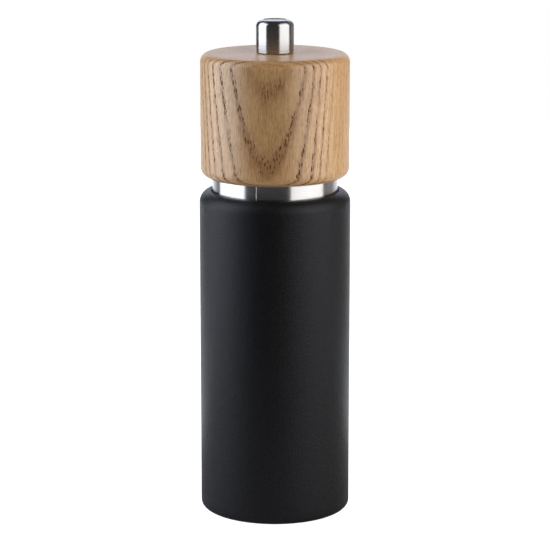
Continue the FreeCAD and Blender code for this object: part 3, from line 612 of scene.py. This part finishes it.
# ------------------------------------------------------------------ spindle with a cut thread
def spindle_mesh():
    z0, z1, zt = low("spindle")[2], 158.0, high("spindle")[2]
    side, corner = 3.0, 4.1
    verts, faces = [], []
    # square bar with rounded corners
    ring = []
    for q in range(4):
        base = q * math.pi / 2
        lim = math.acos(side / corner)
        pts = []
        k = 4
        for j in range(k + 1):
            a = lim + (math.pi / 2 - 2 * lim) * j / k
            pts.append((base + a, corner))
        ring += pts
    seg = 96
    # one ring layout for both bar and thread: sample the radius by angle
    def bar_radius(a):
        a = (a + math.pi / 4) % (math.pi / 2) - math.pi / 4
        return min(side / math.cos(a), corner)
    angs = sorted(set([round(i * 2 * math.pi / seg, 6) for i in range(seg)] +
                      [round((q * math.pi / 2 + s * math.acos(side / corner)) % (2 * math.pi), 6) for q in range(4) for s in (-1, 1)]))
    n = len(angs)
    pitch = 1.0
    outer, root = 2.98, 2.40
    rows = [(z0, "bar0"), (z0 + 0.4, "bar")] + [(z0 + 0.4 + (z1 - z0 - 1.0) * i / 40, "bar") for i in range(1, 41)]
    rows += [(z1, "neck")]
    steps = int((zt - 0.6 - z1) / (pitch / 10))
    rows += [(z1 + 0.3 + (zt - 0.7 - z1 - 0.3) * i / steps, "thread") for i in range(steps + 1)]
    rows += [(zt - 0.35, "lead"), (zt, "top")]
    for z, kind in rows:
        for a in angs:
            if kind == "bar":
                r = bar_radius(a)
            elif kind == "bar0":
                r = bar_radius(a) - 0.35
            elif kind == "neck":
                r = root
            elif kind == "lead":
                r = root + 0.15
            elif kind == "top":
                r = root - 0.15
            else:
                t = ((z / pitch) - a / (2 * math.pi)) % 1.0
                tri = 1.0 - abs(2 * t - 1.0)
                r = root + (outer - root) * min(1.0, max(0.0, (tri - 0.12) / 0.70))
                fade = min(1.0, (zt - 0.7 - z) / 0.8, (z - z1 - 0.3) / 0.8 + 0.2)
                r = root + (r - root) * max(0.0, fade)
            verts.append((r * math.cos(a), r * math.sin(a), z))
    for i in range(len(rows) - 1):
        for j in range(n):
            j2 = (j + 1) % n
            faces.append([i * n + j, i * n + j2, (i + 1) * n + j2, (i + 1) * n + j])
    # tapped hole: leave the lower end closed by a ring and a short bore
    hole = len(verts)
    for z in (z0, z0 + 12.0):
        for a in angs:
            verts.append((2.05 * math.cos(a), 2.05 * math.sin(a), z))
    for j in range(n):
        j2 = (j + 1) % n
        faces.append([j2, j, hole + j, hole + j2])
        faces.append([hole + j2, hole + j, hole + n + j, hole + n + j2])
    faces.append([hole + n + j for j in range(n)][::-1])
    last = (len(rows) - 1) * n
    faces.append([last + j for j in range(n)])
    return finish_mesh("spindle_steel", verts, faces, 35.0)


piece(spindle_mesh(), "spindle", "zinc_steel", "spindle")


# ------------------------------------------------------------------ grinder spring, a wire coil between the CAD spring's ends
def spring_mesh():
    z0, z1 = low("grinder_spring")[2] + 0.5, high("grinder_spring")[2] - 0.5
    wire, turns, sides = 0.49, 3.5, 14
    radius = high("grinder_spring")[0] - 0.51
    steps = 182
    slope = (z1 - z0) / (2 * math.pi * turns)
    verts, faces = [], []
    for i in range(steps + 1):
        a = 2 * math.pi * turns * i / steps
        out = np.array((math.cos(a), math.sin(a), 0.0))
        along = np.array((-radius * math.sin(a), radius * math.cos(a), slope))
        up = np.cross(out, along / np.linalg.norm(along))
        centre = out * radius + np.array((0.0, 0.0, z0 + (z1 - z0) * i / steps))
        for j in range(sides):
            b = 2 * math.pi * j / sides
            verts.append(tuple(centre + wire * (math.cos(b) * out + math.sin(b) * up)))
    for i in range(steps):
        for j in range(sides):
            k = (j + 1) % sides
            faces.append([i * sides + j, i * sides + k, (i + 1) * sides + k, (i + 1) * sides + j])
    faces.append(list(range(sides))[::-1])
    faces.append([steps * sides + j for j in range(sides)])
    return finish_mesh("grinder_spring_wire", verts, faces, 50.0)


spring = spring_mesh()
spring.data.materials.append(MAT["spring_steel"])
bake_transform(spring)
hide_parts("grinder_spring")


# ------------------------------------------------------------------ the other CAD nodes keep their shape and get a finish
for node in frame["nodes"]:
    ob = frame["nodes"][node] if isinstance(frame["nodes"], dict) else None
    ob = ob or bpy.data.objects.get(node)
    if ob is None or ob.hide_render:
        continue
    for s in ob.material_slots:
        s.material = MAT[SLOT[node]]


# ------------------------------------------------------------------ floor, studio light
def plane(name, x0, x1, y0, y1, z):
    mesh = bpy.data.meshes.new(name)
    mesh.from_pydata([(x0, y0, z), (x1, y0, z), (x1, y1, z), (x0, y1, z)], [], [(0, 1, 2, 3)])
    ob = bpy.data.objects.new(name, mesh)
    bpy.context.scene.collection.objects.link(ob)
    return ob


floor = plane("studio_floor", -0.9, 0.9, -0.16, 0.9, 0.0)
m = Material("floor", Roughness=0.75)
m.put(m.bsdf.inputs["Specular IOR Level"], 0.1)
seen = m.new("ShaderNodeLightPath").outputs["Is Camera Ray"]
pale = m.mix(m.noise(m.mm, scale=0.02, detail=2.0), (0.94, 0.94, 0.94), (0.97, 0.97, 0.97))
m.set("Base Color", m.mix(seen, (0.62, 0.61, 0.605), pale))
m.set("Emission Color", (1.0, 1.0, 1.0))
m.set("Emission Strength", m.mul(seen, 0.90))
floor.data.materials.append(m.mat)

world = bpy.data.worlds.new("studio")
bpy.context.scene.world = world
world.use_nodes = True
w = Nodes(world.node_tree)
world.node_tree.nodes.clear()
wout = w.new("ShaderNodeOutputWorld")
path = w.new("ShaderNodeLightPath")
dim = w.new("ShaderNodeBackground")
dim.inputs[0].default_value = (0.050, 0.050, 0.053, 1)
white = w.new("ShaderNodeBackground")
white.inputs[0].default_value = (1, 1, 1, 1)
mixer = w.new("ShaderNodeMixShader")
world.node_tree.links.new(path.outputs["Is Camera Ray"], mixer.inputs[0])
world.node_tree.links.new(dim.outputs[0], mixer.inputs[1])
world.node_tree.links.new(white.outputs[0], mixer.inputs[2])
world.node_tree.links.new(mixer.outputs[0], wout.inputs[0])


def softbox(name, azimuth, distance, width, height, z, power, tilt=0.0, colour=(1, 1, 1)):
    """Upright soft box; azimuth 0 is the camera's side, positive to the right."""
    data = bpy.data.lights.new(name, "AREA")
    data.shape = "RECTANGLE"
    data.size, data.size_y = width, height
    data.energy = power
    data.color = colour
    ob = bpy.data.objects.new(name, data)
    a = math.radians(azimuth)
    ob.location = (distance * math.sin(a), -distance * math.cos(a), z)
    ob.rotation_euler = (math.radians(90.0 - tilt), 0.0, a)
    ob.visible_camera = False
    bpy.context.scene.collection.objects.link(ob)
    return ob


def plane_light(name, width, depth, y, radiance):
    """Light table behind the mill, seen only in reflections from below the horizon."""
    data = bpy.data.lights.new(name, "AREA")
    data.shape = "RECTANGLE"
    data.size, data.size_y = width, depth
    data.energy = radiance * math.pi * width * depth
    data.color = (0.90, 0.95, 1.0)
    ob = bpy.data.objects.new(name, data)
    ob.location = (0.0, y, 0.002)
    ob.rotation_euler = (math.pi, 0.0, 0.0)
    ob.visible_camera = False
    bpy.context.scene.collection.objects.link(ob)
    return ob


def aim(ob, target):
    from mathutils import Vector
    d = Vector(target) - ob.location
    ob.rotation_euler = d.to_track_quat("-Z", "Y").to_euler()


left = softbox("left_box", -87.0, 0.50, 0.60, 0.80, 0.38, 3.8, colour=(0.91, 0.96, 1.05))
right = softbox("right_box", 62.5, 0.50, 0.68, 0.80, 0.38, 3.5, colour=(1.0, 0.98, 0.96))
back = softbox("back_panel", 180.0, 1.60, 1.5, 1.1, 0.62, 6.3, colour=(0.80, 0.86, 1.0))
warm = softbox("warm_panel", 128.0, 0.80, 0.50, 0.90, 0.35, 0.28, colour=(1.0, 0.82, 0.66))
rear_near = plane_light("rear_near", 0.34, 0.30, 0.22, 0.85)
rear_far = plane_light("rear_far", 1.10, 0.80, 0.80, 0.95)
top = softbox("top_box", 180.0, 0.25, 1.5, 1.5, 2.0, 3.5)
top.visible_glossy = False
aim(top, (0, 0, 0.1))
bpy.context.scene.view_settings.view_transform = "Standard"
bpy.context.scene.view_settings.look = "None"
bpy.context.scene.view_settings.exposure = 0.0
